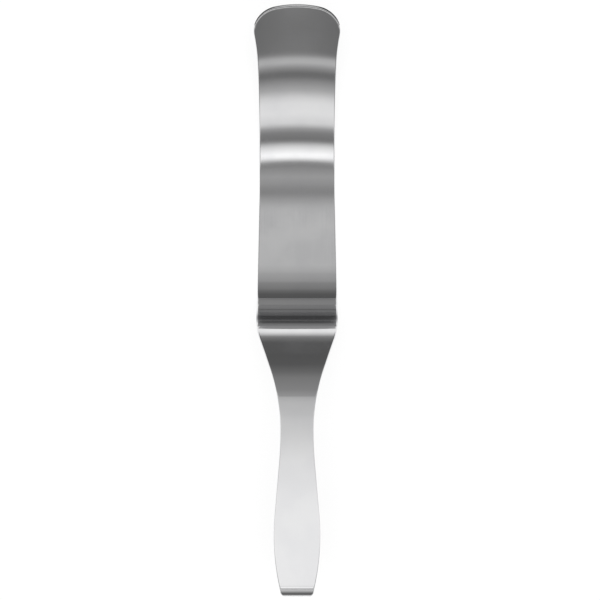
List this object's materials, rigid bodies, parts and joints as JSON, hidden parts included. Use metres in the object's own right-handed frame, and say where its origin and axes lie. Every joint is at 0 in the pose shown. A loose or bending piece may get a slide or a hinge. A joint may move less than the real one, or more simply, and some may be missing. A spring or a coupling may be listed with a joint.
{
  "type": "handheld surgical retractor",
  "caption": "One-piece bent-strip steel retractor: long flat blade with a flared, upturned lip, a steep step at the heel and a waisted flat grip that ends in a short hook.",
  "frame": {"origin": "middle of the flat stretch of the blade's back, which the part lies on", "axes": "+X across the blade, +Y along the blade towards its lip, +Z out of the blade's hollow side, up when it lies on its back"},
  "size_m": [0.0372, 0.2525, 0.0453],
  "materials": {
    "polished_steel": "polished, near mirror, with fine polishing lines"
  },
  "bodies": {
    "root": {"retractor": "polished_steel"}
  },
  "joints": []
}
